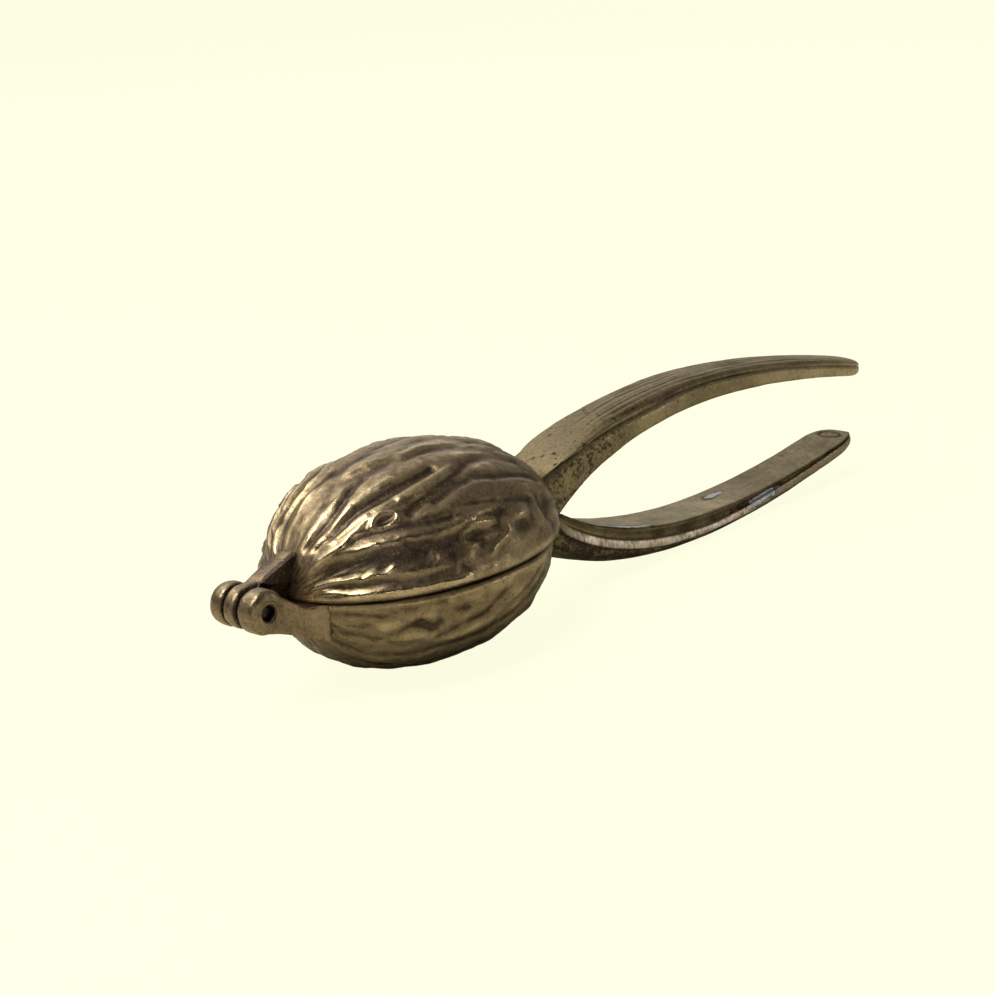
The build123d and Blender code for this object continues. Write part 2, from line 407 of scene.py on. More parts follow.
# height, spread towards the crown, spread towards the rim, route of (x, turn)
UPPER_CREASES = (
    (0.75, 3.0, 1.0, ((-28, 50), (-24, 42), (-19.5, 36.5), (-16, 34), (-12.5, 32), (-7, 31), (-3, 31))),
    (-0.65, 1.4, 3.4, ((-27, 34), (-22, 29), (-17, 25), (-11, 23), (-6, 24))),
    (0.50, 0.5, 0.6, ((-28.4, 25), (-26.4, 22.5), (-24.5, 20.5), (-23.8, 18.4), (-22.5, 20))),
    (0.48, 0.5, 0.6, ((-21.8, 18.3), (-20.5, 18), (-19.4, 20.6))),
    (-0.50, 0.9, 1.2, ((-27.5, 18.5), (-25, 14.5), (-21, 12), (-15, 10.5), (-8, 10))),
    (0.45, 0.6, 1.2, ((-28.7, 18), (-27.2, 12), (-25, 8), (-21, 6), (-15, 5), (-8, 4.5))),
    (0.25, 0.9, 1.4, ((-8, 4.5), (0, 4), (14, 4), (26, 8))),
    (-0.95, 1.0, 1.0, ((-24, 60.5), (-20, 61), (-16, 60), (-12, 60), (-8, 60.5), (-4, 62))),
    (0.45, 0.8, 1.0, ((-25, 55.5), (-19, 56), (-12, 55), (-6, 56.5), (0, 59))),
    (-0.30, 0.35, 0.35, ((-24, 54), (-19, 54.2), (-14, 53.3))),
    (0.42, 0.6, 0.8, ((-26.8, 48.6), (-24, 48.3), (-22, 50.6), (-20, 52.6), (-17, 54.2),
        (-13, 53.0), (-9, 52))),
    (0.70, 0.45, 0.45, ((-19.6, 47.4), (-18.7, 50.3), (-17, 51.2), (-15.3, 48.4), (-15.8, 44.6),
        (-17.4, 43.2), (-19.0, 44.4), (-19.6, 47.0))),
    (0.48, 0.6, 0.7, ((-2.5, 20.1), (-4.8, 18.4), (-6.5, 21), (-6.2, 25.3), (-3.9, 27),
        (-1.7, 27.5), (1, 26.8))),
    (0.55, 0.7, 0.8, ((-1.4, 12.3), (0, 14.7), (2, 16.6), (3.7, 19.5), (3.4, 23))),
    (-0.70, 0.7, 1.2, ((-22.5, 45.5), (-19, 42.5), (-15.5, 39), (-11.5, 36), (-7, 34))),
    (0.55, 0.9, 0.8, ((-27.4, 74), (-24.3, 76), (-21.5, 77), (-19, 76))),
    (-0.60, 0.6, 0.7, ((-26.8, 68), (-23.5, 69), (-20.9, 71.5), (-17.3, 77), (-14, 78))),
    (0.55, 0.9, 0.9, ((-27.2, 62.5), (-24, 62.5), (-21.5, 65), (-17.5, 67), (-12, 66.5))),
    (-0.40, 0.4, 0.4, ((-26.4, 59), (-24.5, 58), (-22, 58))),
    (-0.52, 1.2, 1.4, ((-21.5, 85), (-17.3, 88), (-13, 82.5), (-8.5, 79), (-4, 76.5), (2.5, 74),
        (6, 71), (13, 64))),
    (-0.33, 1.2, 1.2, ((-16.7, 95), (-12, 98), (-7, 94), (-2, 90), (4, 88), (12, 80), (19, 72))),
    (-0.35, 1.0, 1.0, ((-21, 105), (-15, 100.5), (-9, 102), (-3, 100), (5, 101), (14, 96))),
    (-0.80, 1.1, 1.3, ((-13, 45), (-9, 49), (-6, 52), (-3, 53.5), (1, 56.5), (5, 60), (10, 61),
        (17, 57))),
    (-0.50, 1.0, 1.1, ((-8, 44), (-4, 47), (0, 49.5), (4, 49.5), (8, 46.5), (13, 46), (19, 42))),
    (0.35, 0.8, 1.0, ((-7, 41), (-3, 44), (1, 46.5), (5, 44.5), (11, 43), (17, 39))),
    (-0.32, 0.6, 0.6, ((-6, 38.5), (-2, 37), (2, 35.5), (7, 33), (13, 31))),
    (0.22, 1.2, 1.2, ((-2, 64), (4, 66), (10, 62), (18, 55))),
    (-0.28, 1.0, 1.0, ((14, 76), (19, 70), (23, 62))),
    (-0.28, 0.9, 0.9, ((17, 50), (21, 46), (24, 38))),
)
UPPER_DIMPLES = (
    (-0.60, (-17.5, 47.2), (1.3, 0.6), -8),
    (0.35, (-12.6, 20.0), (0.7, 1.0), 0),
    (-0.55, (-3.4, 21.0), (1.4, 2.0), 20),
    (-0.55, (3.0, 29.0), (2.2, 1.3), 10),
    (-0.45, (7.4, 19.0), (2.0, 1.8), 10),
    (0.45, (9.0, 26.0), (2.2, 1.0), 30),
    (0.35, (14.0, 20.0), (1.4, 2.0), 20),
    (-0.40, (12.0, 31.0), (2.2, 1.4), 10),
    (-0.40, (-9.8, 16.0), (1.8, 1.4), 10),
    (-0.35, (17.0, 26.0), (2.0, 1.5), 20),
    (0.30, (20.0, 34.0), (1.6, 1.4), 20),
)
LOWER_CREASES = (
    (-0.28, 0.5, 0.8, ((-29, 13), (-27, 15), (-25.6, 11), (-21.8, 11), (-20.9, 6.5), (-17, 6.5),
        (-15.7, 4), (-12, 5))),
    (-0.42, 0.7, 0.9, ((-26.2, 37), (-24, 32.5), (-22.6, 33.5), (-20.7, 28), (-19.5, 24),
        (-18.5, 19), (-16.5, 17))),
    (-0.52, 0.8, 1.0, ((-16.5, 17), (-15, 19.5), (-13.8, 22), (-12.9, 19))),
    (0.30, 0.9, 1.2, ((-21, 31), (-19, 29), (-16, 26), (-13.5, 27))),
    (-0.38, 0.8, 1.0, ((-12, 28), (-8.1, 22.5), (-5, 20.5), (-3, 18.5), (-1.6, 15), (1, 10))),
    (-0.45, 1.3, 1.5, ((-27, 51), (-24, 50), (-20, 48.5), (-16, 45), (-11, 38.5), (-5, 35),
        (2, 31), (9, 24), (15, 16))),
    (-0.35, 1.3, 1.4, ((-22, 68), (-15, 62), (-8, 55), (0, 50), (8, 42), (15, 33))),
    (-0.35, 1.3, 1.4, ((-14, 82), (-6, 76), (2, 70), (10, 60), (17, 48))),
    (0.30, 1.5, 1.2, ((-22, 21), (-17, 26), (-11, 31), (-4, 27), (4, 22))),
    (-0.30, 0.8, 0.9, ((2, 22), (6, 17), (9, 14), (13, 8))),
)
LOWER_DIMPLES = (
    (-0.30, (-8.0, 12.0), (2.5, 1.2), 15),
    (0.30, (-20.0, 16.0), (3.0, 1.3), -10),
    (0.30, (4.0, 14.0), (2.5, 1.5), 20),
    (-0.30, (-24.0, 22.0), (2.0, 1.4), 0),
    (0.45, (7.0, 62.0), (3.0, 2.4), 20),
    (0.40, (15.0, 45.0), (2.6, 2.4), 20),
    (0.40, (-3.0, 78.0), (3.2, 2.4), 10),
)
CREASE_DEPTH = 0.68
VEIN_WIDTH = 0.16


def veins(x, turn, key, along=11.0, spread=3.4):
    """Meandering thin grooves that draw together at both ends of the walnut."""
    y = spread * np.cos(np.radians(turn))
    z = spread * np.sin(np.radians(turn))
    bend = 0.7 * noise(x / 6 + key, y, z + key)
    return line(noise(x / along + key, y + bend, z - bend), VEIN_WIDTH)


def relief(x, turn, upper):
    """Height of the casting's surface over the plain walnut, in millimetres."""
    creases = UPPER_CREASES if upper else LOWER_CREASES
    dimples = UPPER_DIMPLES if upper else LOWER_DIMPLES
    # The far side repeats the near side's creases, pulled out of step with them.
    far_x = 0.93 * x + 1.4 * noise(x / 9, turn / 25, 5) - 1.5
    far_turn = 177 - turn + 4 * noise(x / 8, turn / 30, 9)
    height = np.zeros(x.shape)
    for seen_x, seen_turn in ((x, turn), (far_x, far_turn)):
        for amount, above, below, route in creases:
            height += crease(seen_x, seen_turn, CREASE_DEPTH * amount, above, below, route)
        for amount, at, size, slant in dimples:
            height += dimple(seen_x, seen_turn, amount, at, size, slant)

    # Random veins are faint where the creases above are placed one by one.
    wild = 1 - 0.75 * fade(x, 16, 6) * fade(turn, 110, 90) if upper else 1 - 0.8 * fade(turn, 70, 50)
    key = 2 if upper else 21
    height -= wild * (0.22 * veins(x, turn, key) + 0.12 * veins(x, turn, key + 8, 7.0, 5.0))
    y = 3 * np.cos(np.radians(turn))
    z = 3 * np.sin(np.radians(turn))
    lumps = noise(x / 5 + 3, 1.6 * y, 1.6 * z + (0 if upper else 11))
    height += 0.22 * lumps * (0.5 + 0.5 * wild) + 0.08 * noise(x / 1.6, 4 * y, 4 * z)
    height += 0.05 * noise(x / 2.2, 9 * y, 9 * z) + 0.04 * noise(x / 0.8, 8 * y + 7, 8 * z)
    return height


# ------------------------------------------------------------
# Walnut shells
# ------------------------------------------------------------
SHELL_ROWS = 341
OUTSIDE_COLUMNS = 211
INSIDE_COLUMNS = 51
# Heights over the rim up to which the relief fades and the rim's outer edge is rounded.
RELIEF_START = 1.6
RIM_EDGE = 0.9
RIM_EASE = 0.45
RIM_ITSELF = 1e-6
RIB_PITCH = 11.0
RIB_RISE = 0.9
RIB_WIDTH = 1.6


def shell_grid(half_length, turns):
    """x and turn over one half of the walnut, in rows that draw together at both ends."""
    steps = np.linspace(0, math.pi, SHELL_ROWS)
    return np.meshgrid(-half_length * np.cos(steps), turns, indexing="ij")


def shell_surface(x, turn, side, height, shrink):
    """Point of the plain walnut, pulled in all round by shrink. The lower half is the shorter."""
    full = girth(x * HALF_LENGTH / (HALF_LENGTH - shrink))
    if side < 0:
        x = x - REAR_INSET * fade(x, 2, HALF_LENGTH) + FRONT_INSET * fade(x, -8, -HALF_LENGTH)
    y = -(HALF_WIDTH - shrink) * full * np.cos(np.radians(turn))
    z = side * (SEAM_GAP / 2 + (height - shrink) * full * np.sin(np.radians(turn)))
    return np.stack([x, y, z], axis=-1)


def outward(points, height):
    """Unit normal of the plain walnut."""
    x, y, z = np.moveaxis(points, -1, 0)
    along = np.abs(x) / HALF_LENGTH
    power = np.where(x < 0, HINGE_END_POWER, HANDLE_END_POWER)
    slope = power * along ** (power - 1) * np.sign(x) / HALF_LENGTH
    normal = np.stack([slope, 2 * y / HALF_WIDTH ** 2, 2 * z / height ** 2], axis=-1)
    return normal / np.linalg.norm(normal, axis=-1, keepdims=True)


def shell_outside(side, height):
    """The creased skin of one half: its points, how worn they are with painted shade added, and how rubbed.
    """
    x, turn = shell_grid(HALF_LENGTH, np.linspace(0, 180, OUTSIDE_COLUMNS))
    points = shell_surface(x, turn, side, height, 0)
    from_rim = np.abs(points[..., 2]) - SEAM_GAP / 2
    rise = relief(x, turn, side > 0) * fade(girth(x), 0.0, 0.35)
    rise = rise * fade(from_rim, 0.0, RELIEF_START) - RIM_EASE * (1 - fade(from_rim, 0.0, RIM_EDGE)) ** 2
    points = points + outward(points, height) * rise[..., None]
    points[..., 2] = side * np.maximum(np.abs(points[..., 2]), SEAM_GAP / 2)
    points[..., 2] = np.where(from_rim < RIM_ITSELF, side * SEAM_GAP / 2, points[..., 2])

    wear = (rise - running_mean(rise, 9)) * (2.4 if side > 0 else 3.4)
    wear = wear + 0.3 * (rise - running_mean(rise, 30))
    if side > 0:
        # A painted dark band along the near flank, standing in for its dark reflection, and painted shade
        # that deepens towards the near rim.
        wear = wear + dimple(x, turn, -0.9, (-19.0, 28.0), (9.0, 2.6))
        wear = wear - 0.3 * fade(turn, 60, 30) * fade(x, -12, -4)
    flank = np.minimum(turn, 180 - turn)
    rubbed = fade(flank, 52, 34) * fade(flank, 0, 6) * fade(points[..., 0], 10, -8)
    return points, wear, rubbed * (0.75 if side > 0 else 0.2)


def shell_inside(side, height):
    """The cavity of one half, with three low ribs across it, and how worn its points are."""
    x, turn = shell_grid(HALF_LENGTH - WALL, np.linspace(180, 0, INSIDE_COLUMNS))
    points = shell_surface(x, turn, side, height, WALL)
    depth = np.sin(np.radians(turn))
    ribs = np.zeros(x.shape)
    for place_along in (-RIB_PITCH, 0, RIB_PITCH):
        ribs = ribs + RIB_RISE * fade(np.abs(x - place_along), RIB_WIDTH / 2 + 0.5, RIB_WIDTH / 2 - 0.3)
    ribs = ribs * fade(depth, 0.03, 0.25)
    rough = 0.12 * noise(x / 2, points[..., 1] / 2, points[..., 2] / 2) * depth
    points = points - outward(points, height) * (ribs + rough)[..., None]
    points[..., 2] = side * np.maximum(np.abs(points[..., 2]), SEAM_GAP / 2)
    return points, -0.45 + 0.9 * ribs


def shell(node, side, height, body, slot, material):
    """One hollow half of the walnut: creased outside, low ribs inside, flat rim."""
    outside, outside_wear, rubbed = shell_outside(side, height)
    inside, inside_wear = shell_inside(side, height)
    points = np.concatenate([outside, inside], axis=1)
    wear = np.concatenate([outside_wear, inside_wear], axis=1)
    rubbed = np.concatenate([rubbed, np.zeros(inside_wear.shape)], axis=1)
    faces = grid_faces(*wear.shape)
    add_piece(node, points.reshape(-1, 3), faces, body, slot, material, wear=wear, rubbed=rubbed)


# ------------------------------------------------------------
# Handles. u runs along a handle, from 0 at its root in the walnut to 1 at its tip.
# ------------------------------------------------------------
# Bezier controls of each handle's middle: along x, then away from the parting plane.
HANDLE_CURVES = {
    "upper_handle": ((26.4, 45.2, 75.5, 130.2), (1.2, 14.5, 18.7, 5.9)),
    "lower_handle": ((24.4, 45.2, 75.5, 126.4), (0.6, 14.5, 18.7, 7.9)),
}
# Bezier controls of the section's width, and of its thickness.
HANDLE_WIDTHS = (14.1, 10.7, 9.7)
HANDLE_THICKNESSES = {"upper_handle": (8.5, 6.4, 3.5), "lower_handle": (8.5, 6.4, 3.0)}
HANDLE_STATIONS = 400
# Share of the handle over which its tip rounds off, seen from above and from the side.
ROUND_TIP = 0.05
THIN_TIP = 0.04
# How deep under the walnut's skin a handle starts, and the web that fills the corner there.
ROOT_DEPTH = 1.0
WEB = 1.1
WEB_REACH = 1.3
HANDLE_LENGTH = 105
# Lengthwise grooves on the crown, as shares of the half width, and how wide each one is.
GROOVES = (-0.86, -0.66, -0.42, -0.2, 0.02, 0.28, 0.53, 0.78)
GROOVE_WIDTH = 0.055
# Half of each section, from the middle of the inside face round to the middle of the outside, as
# shares of the half width and half thickness. The upper one has a flat flank, a crease and a
# crown; the lower one has a channel and a rubbed rim between its inside face and its crown.
SECTIONS = {
    "upper_handle": (
        (0.00, -1.00), (0.30, -1.00), (0.60, -1.00), (0.82, -0.96), (0.93, -0.86), (0.985, -0.66),
        (1.00, -0.40), (1.00, -0.20), (0.985, 0.00), (0.95, 0.14), (0.905, 0.26), (0.93, 0.36),
        (0.935, 0.50), (0.88, 0.68), (0.73, 0.84), (0.50, 0.94), (0.25, 0.985), (0.00, 1.00),
    ),
    "lower_handle": (
        (0.00, -1.00), (0.30, -1.00), (0.62, -1.00), (0.86, -1.00), (0.96, -0.97), (0.985, -0.88),
        (0.93, -0.72), (0.88, -0.54), (0.875, -0.40), (0.91, -0.28), (0.98, -0.20), (1.01, -0.06),
        (1.00, 0.08), (0.95, 0.16), (0.90, 0.26), (0.90, 0.40), (0.86, 0.58), (0.72, 0.80),
        (0.50, 0.93), (0.25, 0.985), (0.00, 1.00),
    ),
}
# Where each section's own heights are carried to along the handle: (share of length, heights).
CREASE_HEIGHT = 0.26
CREASE_RUN = (
    (0.00, 0.82), (0.065, 0.82), (0.16, 0.76), (0.26, 0.58), (0.375, 0.30), (0.455, 0.24),
    (0.50, 0.36), (0.60, 0.40), (0.71, 0.36), (0.80, 0.34), (0.875, 0.26), (0.95, 0.20),
    (1.00, 0.15),
)
RIM_HEIGHTS = (-0.20, 0.12)
RIM_RUN = (
    (0.00, -0.93, -0.80), (0.06, -0.78, -0.45), (0.115, -0.55, -0.16), (0.24, -0.38, 0.04),
    (0.355, -0.26, 0.20), (0.475, -0.14, 0.36), (0.535, -0.08, 0.38), (0.62, -0.02, 0.40),
    (0.70, -0.16, 0.40), (0.80, -0.35, 0.40), (0.87, -0.45, 0.40), (0.935, -0.55, 0.40),
    (1.00, -0.60, 0.30),
)


def bezier(controls, u):
    """Value on the Bezier curve with these control values."""
    degree = len(controls) - 1
    return sum(math.comb(degree, k) * (1 - u) ** (degree - k) * u ** k * c for k, c in enumerate(controls))


def along_run(u, run, column):
    """Value in one column of a table of (share of length, values)."""
    return np.interp(u, [row[0] for row in run], [row[column] for row in run])


def spot(x, y, at, size):
    """1 inside an oval patch, falling to 0 outside it."""
    ragged = 0.30 * noise(x / 0.9, y / size[1], 5) + 0.25 * noise(x / 2.5, y / size[1], 9)
    return fade(np.hypot((x - at[0]) / size[0], (y - at[1]) / size[1]) + ragged, 1.12, 0.88)


def rounded(u, share):
    """1 along the handle, falling to 0 as a quarter circle over the last share of it."""
    return np.sqrt(np.clip(1 - (1 - np.clip((1 - u) / share, 0, 1)) ** 2, 0, 1))


def section(node, ring, u):
    """The section's points once its crease or rim has moved to where it is at u."""
    across = ring[:, 0] + 0 * u
    over = ring[:, 1] + 0 * u
    if node == "upper_handle":
        crease_at = along_run(u, CREASE_RUN, 1)
        below = -1 + (over + 1) * (crease_at + 1) / (CREASE_HEIGHT + 1)
        above = 1 - (1 - over) * (1 - crease_at) / (1 - CREASE_HEIGHT)
        on_crown = over > CREASE_HEIGHT
        across = across * np.where(on_crown, 1 - 0.30 * fade(u, 0.20, 0.05), 1)
        return across, np.where(on_crown, above, below)
    low, high = RIM_HEIGHTS
    to_low = along_run(u, RIM_RUN, 1)
    to_high = along_run(u, RIM_RUN, 2)
    below = -1 + (over + 1) * (to_low + 1) / (low + 1)
    between = to_low + (over - low) * (to_high - to_low) / (high - low)
    above = 1 - (1 - over) * (1 - to_high) / (1 - high)
    return across, np.where(over < low, below, np.where(over < high, between, above))


def rail(node, ring, u):
    """Every point of the section at u, before grooves, with the handle's direction."""
    run, rise = HANDLE_CURVES[node]
    ahead = u + 0.004
    behind = u - 0.004
    forward = np.stack([bezier(curve, ahead) - bezier(curve, behind) for curve in (run, rise)], axis=-1)
    forward /= np.linalg.norm(forward, axis=-1, keepdims=True)
    across, over = section(node, ring, u)
    across = across * bezier(HANDLE_WIDTHS, u) / 2 * rounded(u, ROUND_TIP)
    over = over * bezier(HANDLE_THICKNESSES[node], u) / 2 * (0.05 + 0.95 * rounded(u, THIN_TIP))
    x = bezier(run, u) - forward[..., 1] * over
    z = bezier(rise, u) + forward[..., 0] * over
    return x, across, z, forward


def root(node, ring, height):
    """Where each rail starts, a little under the walnut's skin."""
    u = np.linspace(0, 0.5, 400)[:, None] + np.zeros(len(ring))
    x, y, z, _ = rail(node, ring, u)
    length = HALF_LENGTH - ROOT_DEPTH - (0 if node == "upper_handle" else REAR_INSET)
    level = np.abs(x / length) ** HANDLE_END_POWER + (y / (HALF_WIDTH - ROOT_DEPTH)) ** 2
    level = level + (np.maximum(z, 0) / (height - ROOT_DEPTH)) ** 2
    return u[:, 0][np.argmax(level > 1, axis=0)]


def upper_wear(u, over, flank):
    """The upper handle's tone with painted shade along its crease, and where its flank is left rough as
    cast.
    """
    cast = fade(over, 0.22, 0.10) * fade(over, -0.97, -0.85) * fade(u, 0.42, 0.26)
    tone = 0.05 + 0.30 * fade(over, 0.20, 0.05)
    # Painted shade: a dark line along the crease on each flank.
    tone = tone - (0.75 - 0.40 * fade(u, 0.75, 0.95)) * line(over - 0.27, 0.09) * flank
    tone = tone - 0.45 * cast + 0.60 * fade(u, 0.66, 0.90)
    return tone, cast


def lower_wear(x, y, u, over, length, inside, flank):
    """The lower handle's tone with painted shade, its rough parts, a silvery rim with painted highlight,
    bluish grey patches, stained outlines and oval pad.
    """
    cast = fade(over, 0.12, 0.20) * fade(over, 0.75, 0.6) * fade(u, 0.60, 0.40)
    rim = fade(over, -0.24, -0.16) * fade(over, 0.15, 0.08) * flank
    # The streaks along the silvery rim are painted highlights.
    highlight_streaks = 0.7 * noise(length / 0.45, 6 * over, 3) + 0.4 * noise(length / 3, y, 7)
    silver_and_highlight = rim * np.clip(0.75 + 0.8 * highlight_streaks, 0, 1)
    silver_and_highlight = silver_and_highlight * fade(u, 0.07, 0.22) * (1 - 0.85 * fade(u, 0.66, 0.80))
    near_flank = (y < 0) * flank
    # Bluish grey patches at set places on the handle.
    bluish_patch = inside * spot(x, y, (84.3, 1.5), (2.3, 0.9))
    bluish_patch = np.maximum(bluish_patch, near_flank * spot(x, over, (92.5, -0.30), (5.0, 0.24)))
    bluish_patch = np.maximum(bluish_patch, inside * spot(x, y, (48.0, -4.6), (8.5, 0.9)))
    stain = inside * spot(x, y, (83.6, 1.3), (3.3, 1.5))
    stain = np.maximum(stain, near_flank * spot(x, over, (90.5, -0.40), (8.5, 0.45)))
    stain = np.maximum(stain, inside * spot(x, y, (49.0, -4.5), (10.0, 1.6)))
    outline = np.clip(stain - bluish_patch, 0, 1)
    from_pad = np.hypot((x - 122.1) / 1.5, (y - 0.3) / 2.7)
    dent = inside * (0.30 * line(from_pad - 1, 0.13) + 0.08 * fade(from_pad, 1.0, 0.9))
    # Painted shade: a dark line along the edge of the inside face, and a dark channel beside it.
    edge = line(over + 0.93, 0.05) * flank
    channel = fade(over, -0.86, -0.70) * fade(over, -0.22, -0.34) * flank
    tone = -0.02 - 0.85 * edge - 0.55 * channel * fade(u, 0.22, 0.45) - 0.35 * cast - 1.0 * dent / 0.3
    tone = tone - 0.3 * fade(over, 0.12, 0.2)
    tone = tone + 0.45 * inside * fade(u, 0.20, 0.34) * fade(u, 0.80, 0.62)
    # Painted shade: a dark line in the crease over the rim.
    tone = tone - 0.9 * line(over - 0.13 + 0.03 * noise(length / 0.9, 3, 3), 0.05) * flank
    return tone, cast, silver_and_highlight, bluish_patch, outline, dent


def handle_grooves(length, across):
    """Lengthwise grooves that wander a little, from 0 between them to about -1 in each."""
    grooves = np.zeros(length.shape)
    for index, place_across in enumerate(GROOVES):
        sway = 0.07 * noise(length / 18, index * 3.1, 4) + 0.02 * noise(length / 5, index * 2.3, 8)
        depth = 0.75 + 0.5 * noise(length / 12, index * 1.7, 2)
        grooves -= depth * line(across - place_across - sway, GROOVE_WIDTH)
    return grooves


def closed_tube(rows, columns):
    """Faces of a tube of grid points, with one more point in the middle of each end."""
    count = rows * columns
    faces = grid_faces(rows, columns)
    for column in range(columns):
        beside = (column + 1) % columns
        faces.append([count, beside, column])
        faces.append([count + 1, count - columns + column, count - columns + beside])
    return faces


def handle(node, side, height, body, slot):
    """A curved handle grown out of the walnut's end."""
    half = np.array(smooth_route(SECTIONS[node], 6))
    ring = np.concatenate([half, half[-2:0:-1] * (-1, 1)])
    start = root(node, ring, height)
    share = np.linspace(0, 1, HANDLE_STATIONS)[:, None]
    share = np.where(share < 0.9, share, 1 - (1 - share) ** 1.6 / 0.1 ** 0.6)
    u = start[None, :] + (1 - start[None, :]) * share
    x, y, z, forward = rail(node, ring, u)
    length = x - HANDLE_CURVES[node][0][0]
    over = ring[:, 1] + 0 * u
    across = ring[:, 0] + 0 * u
    inside = fade(over, -0.90, -0.97)
    flank = np.abs(across) > 0.8
    crown = fade(over, 0.30, 0.45)
    grooved = crown * (fade(u, 0.18, 0.42) * fade(u, 0.98, 0.82))

    grooves = handle_grooves(length, across)
    swell = 0.08 * noise(length / 7, y / 3, z / 5 + 3) + 0.03 * noise(length / 2.2, y / 2, z / 2)
    grit = noise(length / 0.42, y / 0.42, z / 0.42) + 0.4 * noise(length / 1.6, y / 1.6, z / 1.6)
    if node == "upper_handle":
        tone, cast = upper_wear(u, over, flank)
        silver_and_highlight = bluish_patch = outline = dent = np.zeros(u.shape)
        groove_depth = 0.20
    else:
        tone, cast, silver_and_highlight, bluish_patch, outline, dent = lower_wear(x, y, u, over, length, inside, flank)
        groove_depth = 0.10
    lift = swell + grooved * groove_depth * grooves + 0.07 * cast * grit - dent
    away = np.stack([-forward[..., 1] * over, across, forward[..., 0] * over], axis=-1)
    away /= np.maximum(np.linalg.norm(away, axis=-1, keepdims=True), 1e-6)
    from_skin = share * (1 - start) * HANDLE_LENGTH - ROOT_DEPTH
    web = WEB * np.exp(-np.maximum(from_skin, 0) / WEB_REACH)
    points = np.stack([x, y, z], axis=-1) + away * (lift * fade(u, 0, 0.02) + web)[..., None]
    points[..., 2] = side * np.maximum(points[..., 2], SEAM_GAP / 2)

    pocks = fade(noise(length / 1.1, y / 0.8, z / 1.1 + 6), 0.58, 0.70) * crown * fade(u, 0.45, 0.2)
    wear = tone + grooves * grooved * 0.75 + 0.8 * swell - 0.3 * web
    wear = wear + cast * np.clip(1.2 * grit, -0.7, 0.3) - 0.9 * outline - 1.2 * pocks

    # The point in the middle of each end has 0 in each layer.
    closed = np.concatenate([points.reshape(-1, 3), [points[0].mean(axis=0), points[-1].mean(axis=0)]])
    layers = {
        layer: np.concatenate([values.ravel(), (0, 0)])
        for layer, values in (("wear", wear), ("silver_and_highlight", silver_and_highlight), ("bluish_patch", bluish_patch))
    }
    add_piece(node, closed, closed_tube(*u.shape), body, slot, HANDLE_BRASS, **layers)


# ------------------------------------------------------------
# Hinge
# ------------------------------------------------------------
# How far the pin and the lug stand proud of the far ear's flat face.
FAR_DOME = 0.8
# Barrels along the hinge: their two ends, then the rounding of each.
LOBES = {
    "lower_hinge_lug": ((-5.6, -1.1, 1.1, 1.6), (2.3, 5.6, 0.9, 1.9)),
    "upper_hinge_knuckle": ((-1.0, 2.2, 1.1, 1.0),),
}
MOST_ROUNDING = 1.6
CAD_WELD = 0.005 * MM
CAST_VOXEL = 0.14 * MM
SOFTENING = 12
# A CAD point counts as inside the walnut below this level, where 1 is the plain walnut's skin.
BURIED_LEVEL = 1.012
BURIED_SHIFT = 1.3
BURIED_WIDTH = 0.96


def softened(node, height):
    """A piece from a CAD hinge part, its edges softened and its root run into the walnut."""
    name = node + "_visual"
    mesh = frame["nodes"][node].data.copy()
    build = bmesh.new()
    build.from_mesh(mesh)
    bmesh.ops.remove_doubles(build, verts=build.verts, dist=CAD_WELD)
    for vert in build.verts:
        x, y, z = drawn(vert.co)
        level = abs(x / HALF_LENGTH) ** HINGE_END_POWER + (y / HALF_WIDTH) ** 2 + (z / height) ** 2
        if level < BURIED_LEVEL:
            vert.co = place((x + BURIED_SHIFT, y * BURIED_WIDTH, z * BURIED_WIDTH))
    build.to_mesh(mesh)
    build.free()
    mesh.materials.clear()
    piece = bpy.data.objects.new(name, mesh)
    bpy.context.scene.collection.objects.link(piece)
    remesh = piece.modifiers.new("cast", "REMESH")
    remesh.mode = "VOXEL"
    remesh.voxel_size = CAST_VOXEL
    soften = piece.modifiers.new("worn", "SMOOTH")
    soften.iterations = SOFTENING
    soften.factor = 0.5
    bpy.context.view_layer.update()
    evaluated = piece.evaluated_get(bpy.context.evaluated_depsgraph_get())
    final = bpy.data.meshes.new_from_object(evaluated)
    piece.modifiers.clear()
    piece.data = final
    final.name = name
    return piece


def mesh_values(mesh, what):
    """A vector for each point of a mesh, as rows of an array."""
    values = np.empty(len(mesh.vertices) * 3)
    mesh.vertices.foreach_get(what, values)
    return values.reshape(-1, 3)


def barrel_shrink(node, y, from_axis):
    """How each point of the barrels is drawn in to the axis, to round them over at both ends."""
    sink = np.zeros(len(y))
    for low, high, low_round, high_round in LOBES[node]:
        inside = (y > low - 0.4) & (y < high + 0.4)
        for depth, radius in ((y - low, low_round), (high - y, high_round)):
            bend = 1 - np.clip(depth / radius, 0, 1)
            sink = np.where(inside, np.maximum(sink, radius * (1 - np.sqrt(1 - bend * bend))), sink)
    sink = sink * fade(from_axis, 2.0, 3.3) * fade(from_axis, 6.5, 4.6)
    return 1 - np.minimum(sink, MOST_ROUNDING) / np.maximum(from_axis, 1)


def spread_root(points, x, y, height):
    """Spread the lug's root into the walnut, under its skin, and dome its far end."""
    points[:, 0] += 1.4 * np.clip(x + 30, 0, 3)
    spread = np.clip((points[:, 0] + 35) / 7.6, 0, 1) ** 2
    points[:, 1] += 0.45 * points[:, 1] * spread + FAR_DOME * fade(y, 3.0, 5.4) * fade(x, -33, -35)
    points[:, 2] += 0.22 * np.minimum(points[:, 2], 0) * spread
    room = girth(points[:, 0] - FRONT_INSET) * 0.95
    needed = np.hypot(points[:, 1] / HALF_WIDTH, points[:, 2] / height)
    bury = fade(points[:, 0], -27.2, -25.8) * (1 - np.minimum(room / np.maximum(needed, 0.01), 1))
    points[:, 1:] *= (1 - bury)[:, None]


